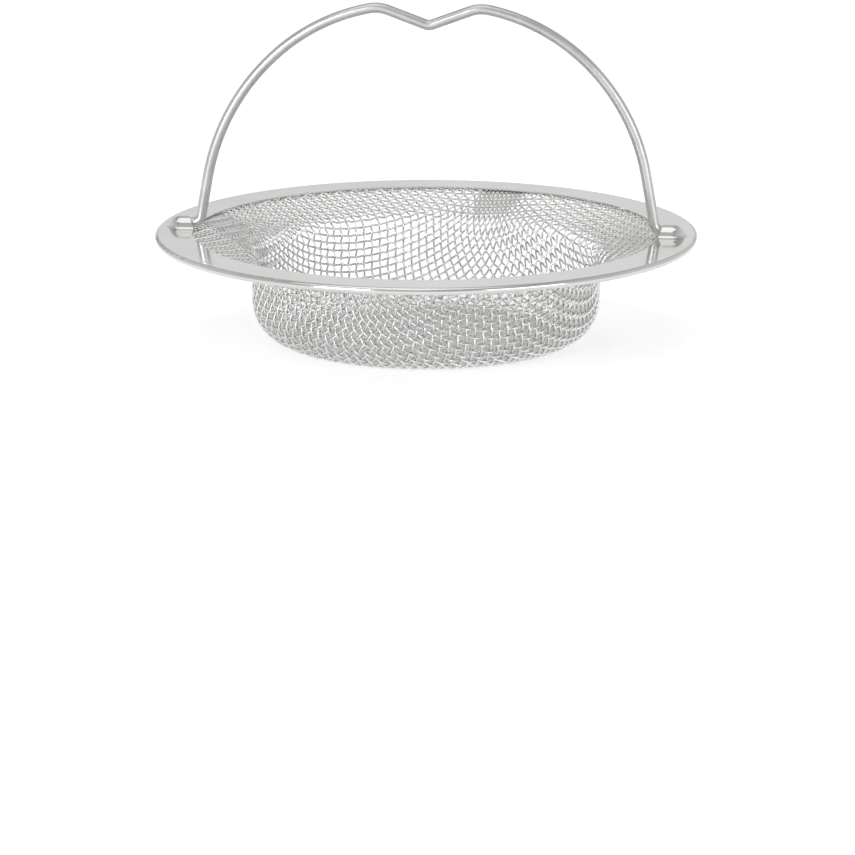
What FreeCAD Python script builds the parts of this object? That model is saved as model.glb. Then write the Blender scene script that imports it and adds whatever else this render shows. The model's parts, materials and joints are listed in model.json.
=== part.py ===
"""Basket strainer: a stamped and hemmed rim ring, a pressed wire-cloth basket and a swinging bail handle.

Millimetres, +Z up. The origin is on the strainer's axis, at the underside of the basket's floor.
+X runs along the bail's pivot axis, from one boss of the rim to the other.
"""
import FreeCAD, Part
import os
from math import cos, radians, sin

V = FreeCAD.Vector
UP = V(0, 0, 1)

# Rim ring: one sheet, folded back round the edge of the cloth
RIM_RADIUS = 57.0
RIM_INNER_RADIUS = 48.9
RIM_TOP = 23.1
SHEET = 0.30
HEM_GAP = 0.94
HEM_LIP_INNER_RADIUS = 53.4
HEM_RADIUS = SHEET + HEM_GAP / 2
HEM_CENTRE_RADIUS = RIM_RADIUS - HEM_RADIUS

# Bosses: half-round hoods pressed up in the rim, open towards the bowl, which hold the bail's ends
BAIL_WIRE_RADIUS = 1.1
PIVOT_ABOVE_RIM = 0.95
PIVOT_CLEARANCE = 0.1
BOSS_RADIUS = 2.5
BOSS_STRAIGHT = 3.0
BOSS_MOUTH_SETBACK = 1.0
BOSS_BASE_FILLET = 0.9
PIVOT_Z = RIM_TOP + PIVOT_ABOVE_RIM
BOSS_TOP = PIVOT_Z + BAIL_WIRE_RADIUS + PIVOT_CLEARANCE + SHEET
BOSS_AXIS_Z = BOSS_TOP - BOSS_RADIUS

# Basket: wire cloth, drawn as a shell through the middle of the cloth's thickness
CLOTH = 0.90
CUP_RADIUS = 36.6
CORNER_BEND = 8.2
SHOULDER_BEND = 3.5
SHOULDER_SLOPE = 17.0
FLANGE_BEND = 2.0
FLANGE_BEND_END = 49.4
CLOTH_EDGE_RADIUS = 56.0

# Bail handle: one round wire, bent by hand, so the V in its middle stands a little to one side
DIP_OFF_AXIS = 0.6
DIP_ABOVE_RIM = 43.85
DIP_BEND = 2.2
DIP_ANGLE = 20.4
DIP_LEG = 8.3
PEAK_BEND = 7.4
PEAK_END_ANGLE = -11.5
CROWN_BEND = 41.0
CROWN_END_ANGLE = -40.6
ARM_END_RADIUS = 46.15
ARM_END_ANGLE = -80.0
FOOT_BEND = 1.8
LEG_IN_BOSS = 3.1


def at_height(radius, z):
    """A point of the half-plane through the axis and +X."""
    return V(radius, 0, z)


class Path:
    """A chain of lines and tangent arcs in the XZ plane, kept at a distance to the left of a centre line."""

    def __init__(self, x, z, heading, offset=0.0):
        self.x = x
        self.z = z
        self.heading = heading
        self.offset = offset
        self.edges = []

    def point(self):
        angle = radians(self.heading)
        return at_height(self.x - self.offset * sin(angle), self.z + self.offset * cos(angle))

    def line(self, length):
        if length > 0:
            start = self.point()
            self.x += length * cos(radians(self.heading))
            self.z += length * sin(radians(self.heading))
            self.edges.append(Part.LineSegment(start, self.point()).toShape())
        return self

    def turn(self, radius, angle):
        """An arc of the centre line: a positive angle turns left."""
        start = self.point()
        self.half_turn(radius, angle / 2)
        middle = self.point()
        self.half_turn(radius, angle / 2)
        self.edges.append(Part.Arc(start, middle, self.point()).toShape())
        return self

    def half_turn(self, radius, angle):
        side = 1 if angle > 0 else -1
        before = radians(self.heading)
        after = radians(self.heading + angle)
        self.x += side * radius * (sin(after) - sin(before))
        self.z += side * radius * (cos(before) - cos(after))
        self.heading += angle


def revolve_face(edges):
    face = Part.Face(Part.Wire(Part.__sortEdges__(edges)))
    return face.revolve(V(0, 0, 0), UP, 360)


def cloth_line(offset):
    """Half of the basket's section, from the axis to the cloth's edge, at a distance from mid-thickness."""
    flange_z = RIM_TOP - SHEET - HEM_GAP / 2
    wall_radius = CUP_RADIUS - CLOTH / 2
    slope = radians(SHOULDER_SLOPE)
    shoulder_run = SHOULDER_BEND * (1 - sin(slope))
    shoulder_rise = SHOULDER_BEND * cos(slope)
    flange_run = FLANGE_BEND * sin(slope)
    flange_rise = FLANGE_BEND * (1 - cos(slope))
    slope_length = (FLANGE_BEND_END - flange_run - shoulder_run - wall_radius) / cos(slope)
    slope_rise = slope_length * sin(slope)
    wall = flange_z - CLOTH / 2 - CORNER_BEND - shoulder_rise - slope_rise - flange_rise
    path = Path(0, CLOTH / 2, 0, offset)
    path.line(wall_radius - CORNER_BEND)
    path.turn(CORNER_BEND, 90)
    path.line(wall)
    path.turn(SHOULDER_BEND, SHOULDER_SLOPE - 90)
    path.line(slope_length)
    path.turn(FLANGE_BEND, -SHOULDER_SLOPE)
    path.line(CLOTH_EDGE_RADIUS - FLANGE_BEND_END)
    return path


def make_basket():
    upper = cloth_line(CLOTH / 2)
    lower = cloth_line(-CLOTH / 2)
    axis_edge = Part.makeLine(at_height(0, 0), at_height(0, CLOTH))
    outer_edge = Part.makeLine(lower.point(), upper.point())
    return revolve_face(upper.edges + lower.edges + [axis_edge, outer_edge])


def ring_line(offset):
    """The folded sheet's section, from the mouth round the hem, at a distance from the hem's centre."""
    path = Path(RIM_INNER_RADIUS, RIM_TOP - HEM_RADIUS, 0, offset)
    path.line(HEM_CENTRE_RADIUS - RIM_INNER_RADIUS)
    start = path.point()
    middle = at_height(HEM_CENTRE_RADIUS + offset, RIM_TOP - HEM_RADIUS)
    end = at_height(HEM_CENTRE_RADIUS, RIM_TOP - HEM_RADIUS - offset)
    path.edges.append(Part.Arc(start, middle, end).toShape())
    lip_end = at_height(HEM_LIP_INNER_RADIUS, end.z)
    path.edges.append(Part.makeLine(end, lip_end))
    return path.edges, lip_end


def make_folded_sheet():
    outside, lip_below = ring_line(HEM_RADIUS)
    inside, lip_above = ring_line(HEM_GAP / 2)
    mouth_above = at_height(RIM_INNER_RADIUS, RIM_TOP)
    mouth_below = at_height(RIM_INNER_RADIUS, RIM_TOP - SHEET)
    mouth_edge = Part.makeLine(mouth_above, mouth_below)
    lip_edge = Part.makeLine(lip_below, lip_above)
    return revolve_face(outside + inside + [mouth_edge, lip_edge])


def hood(radius, start, end):
    """A round bar along +X with a ball end, both centred on the boss's axis."""
    bar = Part.makeCylinder(radius, end - start, V(start, 0, BOSS_AXIS_Z), V(1, 0, 0))
    ball = Part.makeSphere(radius, V(end, 0, BOSS_AXIS_Z))
    return bar.fuse(ball).removeSplitter()


def block(half_width, x_from, x_to, z_from, z_to):
    return Part.makeBox(x_to - x_from, 2 * half_width, z_to - z_from, V(x_from, -half_width, z_from))


def boss_mouth(x_from):
    """The wedge that leaves the hood's open end leaning outwards, as the sheet is drawn back there."""
    y = -2 * BOSS_RADIUS
    low = V(RIM_INNER_RADIUS, y, RIM_TOP)
    high = V(RIM_INNER_RADIUS + BOSS_MOUTH_SETBACK, y, BOSS_TOP)
    corners = [low, high, V(x_from, y, high.z), V(x_from, y, low.z), low]
    return Part.Face(Part.makePolygon(corners)).extrude(V(0, 4 * BOSS_RADIUS, 0))


def boss_base_edges(patch):
    """The edges where the hood rises from the flat of the sheet."""
    found = []
    for edge in patch.Edges:
        box = edge.BoundBox
        on_flat = abs(box.ZMin - RIM_TOP) < 1e-4 and abs(box.ZMax - RIM_TOP) < 1e-4
        beside_hood = max(abs(box.YMin), abs(box.YMax)) < BOSS_RADIUS
        along_hood = box.ZLength < 1e-4 and box.XLength > 1
        if on_flat and beside_hood and along_hood:
            found.append(edge)
    return found


def boss_patch():
    """A patch of the sheet with one solid hood on it, flared at its base and open at its mouth."""
    start = RIM_INNER_RADIUS - 2 * BOSS_RADIUS
    straight_end = RIM_INNER_RADIUS + BOSS_STRAIGHT
    patch_end = straight_end + BOSS_RADIUS + 2 * BOSS_BASE_FILLET
    sheet = block(2 * BOSS_RADIUS, start, patch_end, RIM_TOP - SHEET, RIM_TOP)
    above_sheet = block(2 * BOSS_RADIUS, start, patch_end, RIM_TOP - SHEET / 2, BOSS_TOP + 1)
    patch = sheet.fuse(hood(BOSS_RADIUS, start, straight_end).common(above_sheet)).removeSplitter()
    patch = patch.makeFillet(BOSS_BASE_FILLET, boss_base_edges(patch))
    bowl_mouth = Part.makeCylinder(RIM_INNER_RADIUS, BOSS_TOP + 1)
    return patch.cut([bowl_mouth, boss_mouth(start - 1)])


def boss_cavity():
    start = RIM_INNER_RADIUS - BOSS_RADIUS
    straight_end = RIM_INNER_RADIUS + BOSS_STRAIGHT
    above_cloth = block(2 * BOSS_RADIUS, start - 1, straight_end + BOSS_RADIUS,
                        RIM_TOP - SHEET - HEM_GAP / 2, BOSS_TOP + 1)
    return hood(BOSS_RADIUS - SHEET, start, straight_end).common(above_cloth)


def on_both_sides(shape):
    return [shape, shape.rotated(V(0, 0, 0), UP, 180)]


def make_rim():
    rim = make_folded_sheet()
    rim = rim.fuse(on_both_sides(boss_patch())).removeSplitter()
    rim = rim.cut(on_both_sides(boss_cavity()))
    return rim.removeSplitter().Solids[0]


def bail_half(dip_x):
    """The centre line from the V's bottom to the end of one leg, towards +X."""
    path = Path(dip_x, RIM_TOP + DIP_ABOVE_RIM, 0)
    path.turn(DIP_BEND, DIP_ANGLE)
    path.line(DIP_LEG)
    path.turn(PEAK_BEND, PEAK_END_ANGLE - DIP_ANGLE)
    path.turn(CROWN_BEND, CROWN_END_ANGLE - PEAK_END_ANGLE)
    arm_bend = (ARM_END_RADIUS - path.x) / (sin(radians(CROWN_END_ANGLE)) - sin(radians(ARM_END_ANGLE)))
    path.turn(arm_bend, ARM_END_ANGLE - CROWN_END_ANGLE)
    foot_rise = FOOT_BEND * (1 - cos(radians(ARM_END_ANGLE)))
    path.line((path.z - PIVOT_Z - foot_rise) / sin(radians(-ARM_END_ANGLE)))
    path.turn(FOOT_BEND, -ARM_END_ANGLE)
    path.line(RIM_INNER_RADIUS + LEG_IN_BOSS - path.x)
    return path


def make_bail():
    right = Part.Wire(bail_half(DIP_OFF_AXIS).edges)
    left = Part.Wire(bail_half(-DIP_OFF_AXIS).edges).mirror(V(0, 0, 0), V(1, 0, 0))
    spine = Part.Wire(Part.__sortEdges__(right.Edges + left.Edges))
    start = V(-RIM_INNER_RADIUS - LEG_IN_BOSS, 0, PIVOT_Z)
    section = Part.Wire(Part.makeCircle(BAIL_WIRE_RADIUS, start, V(1, 0, 0)))
    return spine.makePipeShell([section], True, False)


def main():
    os.makedirs("parts", exist_ok=True)
    make_rim().exportStep("parts/rim_ring.step")
    make_basket().exportStep("parts/mesh_basket.step")
    make_bail().exportStep("parts/bail_handle.step")


main()
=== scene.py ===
"""Basket strainer: the wire-cloth basket woven wire by wire, and the finishes of the rim ring and the bail.

Metres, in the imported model's frame. The weave is worked out in millimetres, and scaled as it is meshed.
"""
import bpy
import json
import math
import numpy as np
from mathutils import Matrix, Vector


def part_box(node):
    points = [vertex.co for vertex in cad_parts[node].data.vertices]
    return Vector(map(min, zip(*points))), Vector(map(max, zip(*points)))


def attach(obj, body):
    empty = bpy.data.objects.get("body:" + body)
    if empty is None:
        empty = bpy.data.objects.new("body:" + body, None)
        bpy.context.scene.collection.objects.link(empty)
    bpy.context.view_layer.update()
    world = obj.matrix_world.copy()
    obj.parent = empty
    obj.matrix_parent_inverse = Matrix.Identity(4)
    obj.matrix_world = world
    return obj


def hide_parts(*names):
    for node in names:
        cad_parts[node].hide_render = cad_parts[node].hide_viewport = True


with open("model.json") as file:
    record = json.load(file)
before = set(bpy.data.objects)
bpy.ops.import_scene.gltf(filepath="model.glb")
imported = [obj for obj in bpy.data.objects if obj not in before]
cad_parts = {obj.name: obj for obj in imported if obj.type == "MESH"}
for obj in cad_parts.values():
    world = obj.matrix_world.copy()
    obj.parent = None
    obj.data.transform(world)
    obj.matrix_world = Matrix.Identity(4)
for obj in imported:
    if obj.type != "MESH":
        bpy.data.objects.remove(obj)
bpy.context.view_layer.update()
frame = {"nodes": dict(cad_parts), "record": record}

MM = 0.001

# The cloth, in millimetres: 14 wires to the inch along its i direction, 16 along j, and two wires thick.
# It is woven a little past its edge and then cut back.
INCH = 25.4
I_PITCH = INCH / 14
J_PITCH = INCH / 16
WIRE = 0.45
CORNER_BEND = 8.2
SHOULDER_BEND = 3.5
SHOULDER_SLOPE = math.radians(17.0)
FLANGE_BEND = 2.0
FLANGE_BEND_END = 49.4
WEAVE_AZIMUTH = math.radians(30.1)
SECTION_STEP = 0.05
PAST_THE_EDGE = 3.0

# The search for each crossing's place, in millimetres: opposite corners of a mesh this near mean it is folded
MOST_TRIES = 30
CLOSE_ENOUGH = 1e-8
PARALLEL = 1e-9
LONGEST_STEP = 0.8
AXIS_STEP = 0.001
FOLDED = 0.5

# How the pressed cloth settles: its wires resist crossing at less than the jamming angle. The pull and the
# push weigh each step's corrections to their lengths and to the angle.
JAMMING_ANGLE = math.radians(32.0)
LENGTH_PULL = 0.5
SHEAR_PUSH = 2.4
SETTLING_STEPS = 400

# Where the cloth jams, on the bias, it puckers outwards at the shoulder
PUCKER_OUT = 1.8
PUCKER_WIDTH = 6.0
PUCKER_LENGTH = 5.0

# The wires' meshes
STEPS_PER_PITCH = 5
SIDES = 8
CRIMP_FLATTENING = 0.3
MIDDLE_WIRES = 11
FEWEST_CROSSINGS = 3
FEWEST_RINGS = 4

# The steel: the range that most of a noise's values fall in, and how warm its darkest grey is
NOISE_RANGE = (0.3, 0.7)
WARM = (1.0, 0.99, 0.97)

# The studio's brightness, as stops of place and brightness: by the sine of the elevation, to the right, and
# to the back
BY_HEIGHT = [(-0.5, 0.75), (0.18, 0.79), (0.225, 1.0), (0.4, 0.85), (0.8, 0.68)]
BY_SIDE = [(-0.68, 0.94), (-0.38, 0.75), (-0.08, 1.0), (0.22, 0.75), (0.52, 0.94)]
BY_BACK = [(-0.9, 0.85), (0.4, 1.0)]

# Each softbox's place, size and power, in metres and watts
SOFTBOXES = {
    "overhead": ((-0.2, -0.3, 1.6), (1.5, 1.5), 6.0),
    "front_left": ((-0.75, -1.3, 0.45), (0.6, 0.6), 8.5),
    "front_right": ((1.2, -1.1, 0.35), (1.0, 0.6), 5.0),
}
FLOOR_HALF_WIDTH = 6.0
FLOOR_GREY = 0.85
FLOOR_ROUGHNESS = 0.8
FLOOR_GLOW = 0.40

# Where the camera stands, seen from the middle of the rim, and what it looks at
RIM_TOP = 0.0231
CAMERA_AZIMUTH = math.radians(5.4)
CAMERA_ELEVATION = math.radians(11.6)
CAMERA_DISTANCE = 1.2
NEAREST_SEEN = 0.1
LENS = 240.3
AIM_BELOW_RIM = 0.04125
AIM_TO_RIGHT = 0.0003


def mount(name):
    return next(m for m in frame["record"]["mounts"] if m["name"] == name)


CUP_RADIUS = mount("cup_spigot")["dims"]["r_mm"]
CLOTH_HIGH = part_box("mesh_basket")[1] / MM
CLOTH_EDGE_RADIUS = CLOTH_HIGH.x
FLANGE_MIDDLE = CLOTH_HIGH.z - WIRE
RIM_CENTRE = Vector((0, 0, RIM_TOP))


class Surface:
    """The middle of the cloth's thickness.

    A place on it is a length s along the section, out from the axis, and an angle phi round the axis.
    """

    def __init__(self):
        self.rows = [(0.0, 0.0, WIRE, 0.0)]
        wall_radius = CUP_RADIUS - WIRE
        shoulder_run = SHOULDER_BEND * (1 - math.sin(SHOULDER_SLOPE))
        shoulder_rise = SHOULDER_BEND * math.cos(SHOULDER_SLOPE)
        flange_run = FLANGE_BEND * math.sin(SHOULDER_SLOPE)
        flange_rise = FLANGE_BEND * (1 - math.cos(SHOULDER_SLOPE))
        slope_run = FLANGE_BEND_END - flange_run - shoulder_run - wall_radius
        slope_rise = slope_run * math.tan(SHOULDER_SLOPE)
        wall = FLANGE_MIDDLE - WIRE - CORNER_BEND - shoulder_rise - slope_rise - flange_rise
        self.line(wall_radius - CORNER_BEND)
        self.bend(CORNER_BEND, math.pi / 2)
        self.line(wall)
        shoulder_start = self.rows[-1][0]
        self.bend(SHOULDER_BEND, SHOULDER_SLOPE - math.pi / 2)
        self.shoulder = (shoulder_start + self.rows[-1][0]) / 2
        self.line(slope_run / math.cos(SHOULDER_SLOPE))
        self.bend(FLANGE_BEND, -SHOULDER_SLOPE)
        self.line(CLOTH_EDGE_RADIUS - FLANGE_BEND_END + PAST_THE_EDGE)
        self.s, self.r, self.z, self.heading = np.array(self.rows).T

    def advance(self, length, angle):
        steps = max(1, int(length / SECTION_STEP))
        for _ in range(steps):
            s, r, z, heading = self.rows[-1]
            middle = heading + angle / steps / 2
            step = length / steps
            r += step * math.cos(middle)
            z += step * math.sin(middle)
            self.rows.append((s + step, r, z, heading + angle / steps))

    def line(self, length):
        self.advance(length, 0.0)

    def bend(self, radius, angle):
        self.advance(radius * abs(angle), angle)

    def radius(self, s):
        return np.interp(s, self.s, self.r)

    def point(self, s, phi):
        r = self.radius(s)
        return np.stack([r * np.cos(phi), r * np.sin(phi), np.interp(s, self.s, self.z)], -1)

    def slopes(self, s, phi):
        """How the point moves with s and with phi."""
        r = self.radius(s)
        heading = np.interp(s, self.s, self.heading)
        along = [np.cos(heading) * np.cos(phi), np.cos(heading) * np.sin(phi), np.sin(heading)]
        around = [-r * np.sin(phi), r * np.cos(phi), 0.0 * r]
        return np.stack(along, -1), np.stack(around, -1)

    def normal(self, s, phi):
        """The direction out of the cloth, up and inwards."""
        heading = np.interp(s, self.s, self.heading)
        outwards = -np.sin(heading)
        return np.stack([outwards * np.cos(phi), outwards * np.sin(phi), np.cos(heading)], -1)

    def settle(self, points, s):
        """The places on the surface beside these points, which are near s."""
        heading = np.interp(s, self.s, self.heading)
        out = np.hypot(points[:, 0], points[:, 1]) - self.radius(s)
        up = points[:, 2] - np.interp(s, self.s, self.z)
        s = s + out * np.cos(heading) + up * np.sin(heading)
        return np.clip(s, 0, self.s[-1]), np.arctan2(points[:, 1], points[:, 0])


def place_at_pitch(surface, a, b, s, phi):
    """The place one pitch from a along i and one pitch from b along j, by Newton's method, or None."""
    for _ in range(MOST_TRIES):
        point = surface.point(s, phi)
        miss = np.array([(point - a) @ (point - a) - I_PITCH**2, (point - b) @ (point - b) - J_PITCH**2])
        if abs(miss).max() < CLOSE_ENOUGH:
            return s, phi
        along, around = surface.slopes(s, phi)
        change = 2 * np.array([[(point - a) @ along, (point - a) @ around],
                               [(point - b) @ along, (point - b) @ around]])
        if abs(np.linalg.det(change)) < PARALLEL:
            return None
        step = np.linalg.solve(change, -miss)
        length = max(abs(step[0]), abs(step[1]) * max(1, surface.radius(s)))
        s, phi = np.array([s, phi]) + step / max(1, length / LONGEST_STEP)
    return None


def axis_places(surface, pitch):
    """Crossings along a wire that runs straight out from the centre."""
    places = [0.0]
    lengths = np.arange(0, surface.s[-1], AXIS_STEP)
    points = surface.point(lengths, 0.0 * lengths)
    while True:
        here = surface.point(places[-1], 0.0)
        far_enough = (np.linalg.norm(points - here, axis=1) >= pitch) & (lengths > places[-1])
        if not far_enough.any():
            return places
        places.append(lengths[far_enough][0])


def quarter_net(surface):
    """A quarter of the cloth laid on the surface, every mesh side one pitch long, as (i, j) -> place."""
    places = {(i, 0): (s, 0.0) for i, s in enumerate(axis_places(surface, I_PITCH))}
    places |= {(0, j): (s, math.pi / 2) for j, s in enumerate(axis_places(surface, J_PITCH))}
    size = 2 * max(max(key) for key in places)
    for i in range(1, size):
        for j in range(1, size):
            corners = [places.get(key) for key in ((i - 1, j), (i, j - 1), (i - 1, j - 1))]
            if None in corners:
                continue
            a, b, c = (surface.point(*corner) for corner in corners)
            beyond = a + b - c
            s = min(corners[0][0] + corners[1][0] - corners[2][0], surface.s[-1])
            place = place_at_pitch(surface, a, b, s, math.atan2(beyond[1], beyond[0]))
            if place and place[0] <= surface.s[-1] and np.linalg.norm(surface.point(*place) - c) > FOLDED:
                places[i, j] = place
    return places


def whole_net(surface):
    """The quarter and its mirror images."""
    quarter = quarter_net(surface)
    places = {}
    for (i, j), (s, phi) in quarter.items():
        places[i, j] = (s, phi)
        places[-i, j] = (s, math.pi - phi)
        places[-i, -j] = (s, math.pi + phi)
        places[i, -j] = (s, -phi)
    return places


def pull(moves, points, pairs, target, share, push_only=False):
    """Adds to moves what brings each pair of points to the target distance, or only what parts them."""
    apart = points[pairs[:, 1]] - points[pairs[:, 0]]
    distance = np.linalg.norm(apart, axis=1)
    change = (distance - target) / distance
    if push_only:
        change = np.minimum(change, 0)
    step = (0.5 * share * change)[:, None] * apart
    np.add.at(moves, pairs[:, 0], step)
    np.add.at(moves, pairs[:, 1], -step)


def pairs_apart(index, one, other):
    """Row numbers of the crossings at these two offsets from each crossing, where both are there."""
    found = []
    for i, j in index:
        first = index.get((i + one[0], j + one[1]))
        second = index.get((i + other[0], j + other[1]))
        if first is not None and second is not None:
            found.append([first, second])
    return np.array(found)


def settled_net(surface):
    """The crossings after the cloth has sheared until few wires cross too sharply."""
    places = whole_net(surface)
    keys = sorted(places)
    index = {key: n for n, key in enumerate(keys)}
    s, phi = np.array([places[key] for key in keys]).T
    i_sides = pairs_apart(index, (0, 0), (1, 0))
    j_sides = pairs_apart(index, (0, 0), (0, 1))
    diagonals = np.concatenate([pairs_apart(index, (0, 0), (1, 1)), pairs_apart(index, (1, 0), (0, 1))])
    ends = np.concatenate([i_sides, j_sides]).ravel()
    links = np.maximum(np.bincount(ends, minlength=len(keys)), 1)[:, None]
    jammed_diagonal = math.sqrt(I_PITCH**2 + J_PITCH**2 - 2 * I_PITCH * J_PITCH * math.cos(JAMMING_ANGLE))
    centre = index[0, 0]
    points = surface.point(s, phi)
    for _ in range(SETTLING_STEPS):
        moves = np.zeros_like(points)
        pull(moves, points, i_sides, I_PITCH, LENGTH_PULL)
        pull(moves, points, j_sides, J_PITCH, LENGTH_PULL)
        pull(moves, points, diagonals, jammed_diagonal, SHEAR_PUSH, push_only=True)
        moves[centre] = 0
        s, phi = surface.settle(points + 2 * moves / links, s)
        points = surface.point(s, phi)
    return index, s, phi


def pucker(surface, s, phi):
    """How far out the cloth stands from its round shape, with phi measured from the wires."""
    quarter_turn = math.pi / 2
    across = (phi % quarter_turn - quarter_turn / 2) * surface.radius(s)
    along = s - surface.shoulder
    return PUCKER_OUT * np.exp(-(across / PUCKER_WIDTH)**2 - (along / PUCKER_LENGTH)**2)


def smooth_through(values, steps):
    """Points on a Catmull-Rom curve through all the values, with this many steps from each to the next."""
    padded = np.concatenate([[2 * values[0] - values[1]], values, [2 * values[-1] - values[-2]]])
    t = (np.arange(steps) / steps)[None, :, None]
    a, b, c, d = (padded[k:len(padded) - 3 + k, None, :] for k in range(4))
    curve = b + 0.5 * t * (c - a + t * (2 * a - 5 * b + 4 * c - d + t * (3 * (b - c) + d - a)))
    return np.concatenate([curve.reshape(-1, values.shape[1]), values[-1:]])


def unit(vectors):
    return vectors / np.linalg.norm(vectors, axis=-1, keepdims=True)


def crimp(count, first_side):
    """How far the wire's centre stands off the cloth's middle, over one wire and under the next."""
    wave = np.cos(np.pi * np.arange(count) / STEPS_PER_PITCH)
    shape = wave * (1 + CRIMP_FLATTENING * (1 - wave**2))
    return first_side * WIRE / 2 * shape


def wire_rings(points, normals, first_side):
    """The vertices round a wire, ring by ring, or None for a wire too short to show."""
    count = (len(points) - 1) * STEPS_PER_PITCH + 1
    middle = smooth_through(points, STEPS_PER_PITCH)
    out = unit(smooth_through(normals, STEPS_PER_PITCH))
    centre = middle + crimp(count, first_side)[:, None] * out
    inside = np.hypot(middle[:, 0], middle[:, 1]) < CLOTH_EDGE_RADIUS
    centre, out = centre[inside], out[inside]
    if len(centre) < FEWEST_RINGS:
        return None
    tangent = unit(np.gradient(centre, axis=0))
    out = unit(out - (out * tangent).sum(1, keepdims=True) * tangent)
    side = np.cross(tangent, out)
    angle = 2 * np.pi * np.arange(SIDES) / SIDES
    ring = np.cos(angle)[:, None] * out[:, None, :] + np.sin(angle)[:, None] * side[:, None, :]
    return centre[:, None, :] + WIRE / 2 * ring


def wire_lines(index, across):
    """The crossings of each wire, in order: across is 0 for the wires along i, and 1 for those along j."""
    lines = {}
    for key in sorted(index, key=lambda key: (key[1 - across], key[across])):
        lines.setdefault(key[1 - across], []).append(key)
    return lines


def tube_faces(rings, start):
    """Quads between the rings of one tube, and its two end faces."""
    ring = start + np.arange(SIDES)
    following = np.roll(ring, -1)
    quad = np.stack([ring, following, following + SIDES, ring + SIDES], 1)
    quads = (quad[None] + SIDES * np.arange(rings - 1)[:, None, None]).reshape(-1, 4)
    last = ring + SIDES * (rings - 1)
    return quads.tolist() + [ring[::-1].tolist(), last.tolist()]


def make_mesh(name, vertices, faces):
    mesh = bpy.data.meshes.new(name)
    mesh.from_pydata(vertices, [], faces)
    mesh.shade_smooth()
    thing = bpy.data.objects.new(name, mesh)
    bpy.context.scene.collection.objects.link(thing)
    return thing


def letter_of(number):
    """Which of three pieces a wire belongs to: all of one direction would be too many faces for one."""
    if number < -MIDDLE_WIRES:
        return "a"
    return "b" if number <= MIDDLE_WIRES else "c"


def crossings(surface):
    """The row number of each crossing (i, j), and the crossings' points and directions out of the cloth."""
    index, s, phi = settled_net(surface)
    out = pucker(surface, s, phi)
    phi = phi + WEAVE_AZIMUTH
    points = surface.point(s, phi)
    points[:, 0] += out * np.cos(phi)
    points[:, 1] += out * np.sin(phi)
    return index, points, surface.normal(s, phi)


def make_wires(name, tubes):
    """One piece of the basket, from the rings of each of its wires."""
    vertices = np.concatenate([rings.reshape(-1, 3) for rings in tubes]) * MM
    faces = []
    start = 0
    for rings in tubes:
        faces += tube_faces(len(rings), start)
        start += len(rings) * SIDES
    piece = make_mesh(name, vertices, faces)
    piece.data.materials.append(cloth_material)
    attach(piece, "strainer")
    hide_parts("mesh_basket")


def weave(surface):
    """The basket's wires, in three pieces of each direction."""
    index, points, normals = crossings(surface)
    for across, family in enumerate(("warp", "weft")):
        lines = wire_lines(index, across)
        parts = {"a": [], "b": [], "c": []}
        for number in sorted(lines):
            nodes = [index[key] for key in lines[number]]
            if len(nodes) < FEWEST_CROSSINGS:
                continue
            first = lines[number][0]
            side = 1 if (sum(first) + across) % 2 else -1
            rings = wire_rings(points[nodes], normals[nodes], side)
            if rings is not None:
                parts[letter_of(number)].append(rings)
        for letter, tubes in parts.items():
            make_wires(f"cloth_{family}_wires_{letter}", tubes)


def metal(name, grey):
    """A bare stainless steel, and its node tree and shader for the finish."""
    material = bpy.data.materials.new(name)
    material.use_nodes = True
    tree = material.node_tree
    shader = tree.nodes["Principled BSDF"]
    shader.inputs["Metallic"].default_value = 1.0
    shader.inputs["Base Color"].default_value = (grey, grey, grey, 1)
    return material, tree, shader


def object_place(tree):
    return tree.nodes.new("ShaderNodeTexCoord").outputs["Object"]


def noise(tree, place, lumps_per_metre, detail=2.0):
    node = tree.nodes.new("ShaderNodeTexNoise")
    node.inputs["Scale"].default_value = lumps_per_metre
    node.inputs["Detail"].default_value = detail
    tree.links.new(place, node.inputs["Vector"])
    return node.outputs[0]


def line_noise(tree, distance, lines_per_metre, detail=3.0):
    """Fine lines along a surface, which change only with this distance."""
    node = tree.nodes.new("ShaderNodeTexNoise")
    node.noise_dimensions = "1D"
    node.inputs["Scale"].default_value = lines_per_metre
    node.inputs["Detail"].default_value = detail
    tree.links.new(distance, node.inputs["W"])
    return node.outputs[0]


def spread(tree, value, low, high):
    """The noise's usual range stretched from low to high."""
    node = tree.nodes.new("ShaderNodeMapRange")
    node.inputs["From Min"].default_value = NOISE_RANGE[0]
    node.inputs["From Max"].default_value = NOISE_RANGE[1]
    node.inputs["To Min"].default_value = low
    node.inputs["To Max"].default_value = high
    tree.links.new(value, node.inputs["Value"])
    return node.outputs[0]


def tint(tree, shader, value, darkest, lightest):
    """A steel that goes from one grey to another, a little warmer where it is darker."""
    mix = tree.nodes.new("ShaderNodeMix")
    mix.data_type = "RGBA"
    mix.inputs["A"].default_value = [darkest * part for part in WARM] + [1]
    mix.inputs["B"].default_value = (lightest, lightest, lightest, 1)
    tree.links.new(spread(tree, value, 0, 1), mix.inputs["Factor"])
    tree.links.new(mix.outputs["Result"], shader.inputs["Base Color"])


def polish(tree, shader, value, smoothest, roughest):
    tree.links.new(spread(tree, value, smoothest, roughest), shader.inputs["Roughness"])


def scratch(tree, shader, value, depth):
    """Fine lines of this depth, in metres."""
    bump = tree.nodes.new("ShaderNodeBump")
    bump.inputs["Distance"].default_value = depth
    tree.links.new(value, bump.inputs["Height"])
    tree.links.new(bump.outputs[0], shader.inputs["Normal"])


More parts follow.
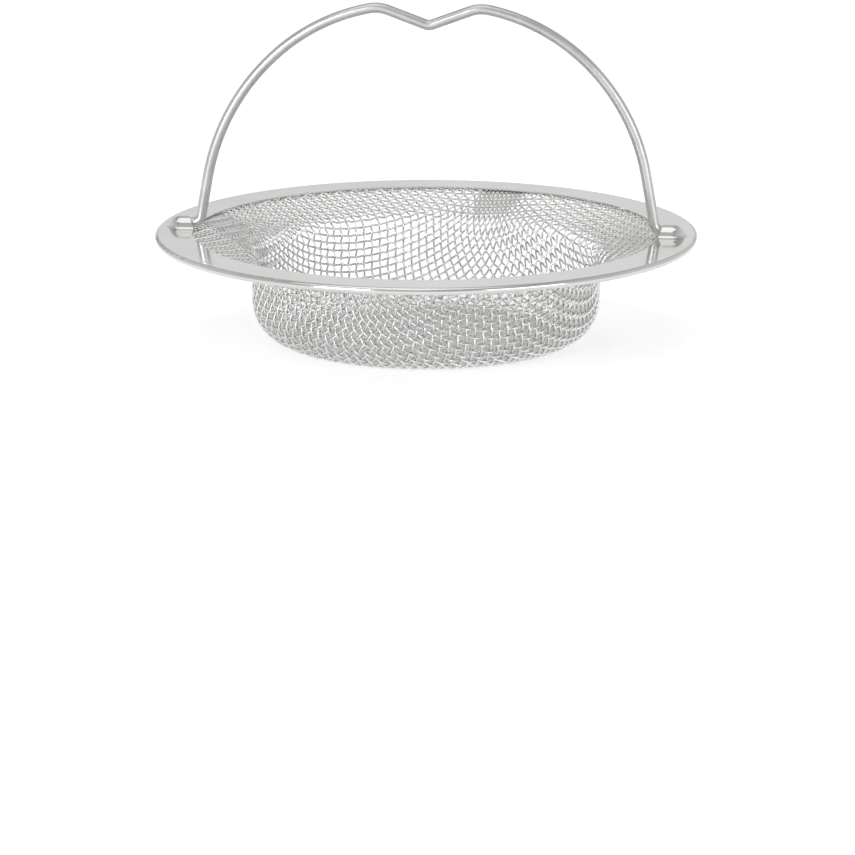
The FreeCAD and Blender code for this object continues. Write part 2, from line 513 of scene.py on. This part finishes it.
def distance_from_axis(tree, place):
    flatten = tree.nodes.new("ShaderNodeVectorMath")
    flatten.operation = "MULTIPLY"
    flatten.inputs[1].default_value = (1, 1, 0)
    tree.links.new(place, flatten.inputs[0])
    length = tree.nodes.new("ShaderNodeVectorMath")
    length.operation = "LENGTH"
    tree.links.new(flatten.outputs[0], length.inputs[0])
    return length.outputs["Value"]


def make_cloth_material():
    """Bright annealed wire, which the press and the loom have rubbed here and there."""
    material, tree, shader = metal("wire_cloth", grey=0.6)
    place = object_place(tree)
    tint(tree, shader, noise(tree, place, lumps_per_metre=900), darkest=0.60, lightest=0.74)
    polish(tree, shader, noise(tree, place, lumps_per_metre=2500), smoothest=0.20, roughest=0.34)
    return material


def make_rim_material():
    """Polished sheet with the faint rings that the polishing wheel leaves as the part turns."""
    material, tree, shader = metal("rim_steel", grey=0.64)
    place = object_place(tree)
    tint(tree, shader, noise(tree, place, lumps_per_metre=60), darkest=0.60, lightest=0.66)
    polish(tree, shader, noise(tree, place, lumps_per_metre=120, detail=4.0), smoothest=0.07, roughest=0.15)
    rings = line_noise(tree, distance_from_axis(tree, place), lines_per_metre=6000)
    scratch(tree, shader, rings, depth=1.0e-6)
    return material


def make_bail_material():
    """Drawn wire: the die leaves fine lines along it."""
    material, tree, shader = metal("bail_wire", grey=0.6)
    place = object_place(tree)
    tint(tree, shader, noise(tree, place, lumps_per_metre=150), darkest=0.50, lightest=0.57)
    polish(tree, shader, noise(tree, place, lumps_per_metre=400, detail=3.0), smoothest=0.28, roughest=0.38)
    split = tree.nodes.new("ShaderNodeSeparateXYZ")
    tree.links.new(place, split.inputs[0])
    lines = line_noise(tree, split.outputs["Y"], lines_per_metre=9000)
    scratch(tree, shader, lines, depth=3.0e-6)
    return material


def make_floor():
    """A white floor that gives off a little light of its own, so that the shadow on it is faint."""
    ends = (-FLOOR_HALF_WIDTH, FLOOR_HALF_WIDTH)
    floor = make_mesh("floor", [(x, y, 0) for x in ends for y in ends], [(0, 2, 3, 1)])
    material = bpy.data.materials.new("floor")
    material.use_nodes = True
    shader = material.node_tree.nodes["Principled BSDF"]
    shader.inputs["Base Color"].default_value = (FLOOR_GREY, FLOOR_GREY, FLOOR_GREY, 1)
    shader.inputs["Roughness"].default_value = FLOOR_ROUGHNESS
    shader.inputs["Emission Color"].default_value = (1, 1, 1, 1)
    shader.inputs["Emission Strength"].default_value = FLOOR_GLOW
    floor.data.materials.append(material)


def level(tree, value, stops):
    """The brightness at this value, from -1 to 1, between the stops."""
    fraction = tree.nodes.new("ShaderNodeMapRange")
    fraction.inputs["From Min"].default_value = -1
    tree.links.new(value, fraction.inputs["Value"])
    ramp = tree.nodes.new("ShaderNodeValToRGB")
    elements = ramp.color_ramp.elements
    for place, brightness in stops:
        elements.new((place + 1) / 2).color = (brightness, brightness, brightness, 1)
    elements.remove(elements[0])
    elements.remove(elements[-1])
    tree.links.new(fraction.outputs[0], ramp.inputs[0])
    return ramp.outputs["Color"]


def product(tree, one, other):
    node = tree.nodes.new("ShaderNodeMath")
    node.operation = "MULTIPLY"
    tree.links.new(one, node.inputs[0])
    tree.links.new(other, node.inputs[1])
    return node.outputs[0]


def make_world():
    """A pale studio: whitest low at the back, and greyer overhead, behind the camera and at the sides."""
    world = bpy.data.worlds.new("studio")
    bpy.context.scene.world = world
    world.use_nodes = True
    tree = world.node_tree
    place = tree.nodes.new("ShaderNodeTexCoord")
    direction = tree.nodes.new("ShaderNodeSeparateXYZ")
    tree.links.new(place.outputs["Generated"], direction.inputs[0])
    across = level(tree, direction.outputs["X"], BY_SIDE)
    along = level(tree, direction.outputs["Y"], BY_BACK)
    up = level(tree, direction.outputs["Z"], BY_HEIGHT)
    brightness = product(tree, product(tree, across, along), up)
    tree.links.new(brightness, tree.nodes["Background"].inputs["Color"])


def make_softbox(name, place, size, power):
    light = bpy.data.lights.new(name, "AREA")
    light.shape = "RECTANGLE"
    light.size, light.size_y = size
    light.energy = power
    softbox = bpy.data.objects.new(name, light)
    bpy.context.scene.collection.objects.link(softbox)
    softbox.location = place
    softbox.rotation_euler = (RIM_CENTRE - softbox.location).to_track_quat("-Z", "Y").to_euler()


def make_camera():
    """A long lens, a little above the rim and to the right of the middle."""
    level_back = math.cos(CAMERA_ELEVATION)
    back = Vector((math.sin(CAMERA_AZIMUTH) * level_back, -math.cos(CAMERA_AZIMUTH) * level_back,
                   math.sin(CAMERA_ELEVATION)))
    data = bpy.data.cameras.new("camera")
    data.lens = LENS
    data.clip_start = NEAREST_SEEN
    camera = bpy.data.objects.new("camera", data)
    bpy.context.scene.collection.objects.link(camera)
    camera.location = RIM_CENTRE + CAMERA_DISTANCE * back
    turn = (-back).to_track_quat("-Z", "Y")
    right = turn @ Vector((1, 0, 0))
    up = turn @ Vector((0, 1, 0))
    target = RIM_CENTRE - AIM_BELOW_RIM * up + AIM_TO_RIGHT * right
    camera.rotation_mode = "QUATERNION"
    camera.rotation_quaternion = (target - camera.location).to_track_quat("-Z", "Y")
    bpy.context.scene.camera = camera


cloth_material = make_cloth_material()
weave(Surface())
for node, material in (("rim_ring", make_rim_material()), ("bail_handle", make_bail_material())):
    slots = frame["nodes"][node].data.materials
    slots.clear()
    slots.append(material)
make_floor()
make_world()
for name, (place, size, power) in SOFTBOXES.items():
    make_softbox(name, place, size, power)
make_camera()
bpy.context.scene.view_settings.view_transform = "Standard"
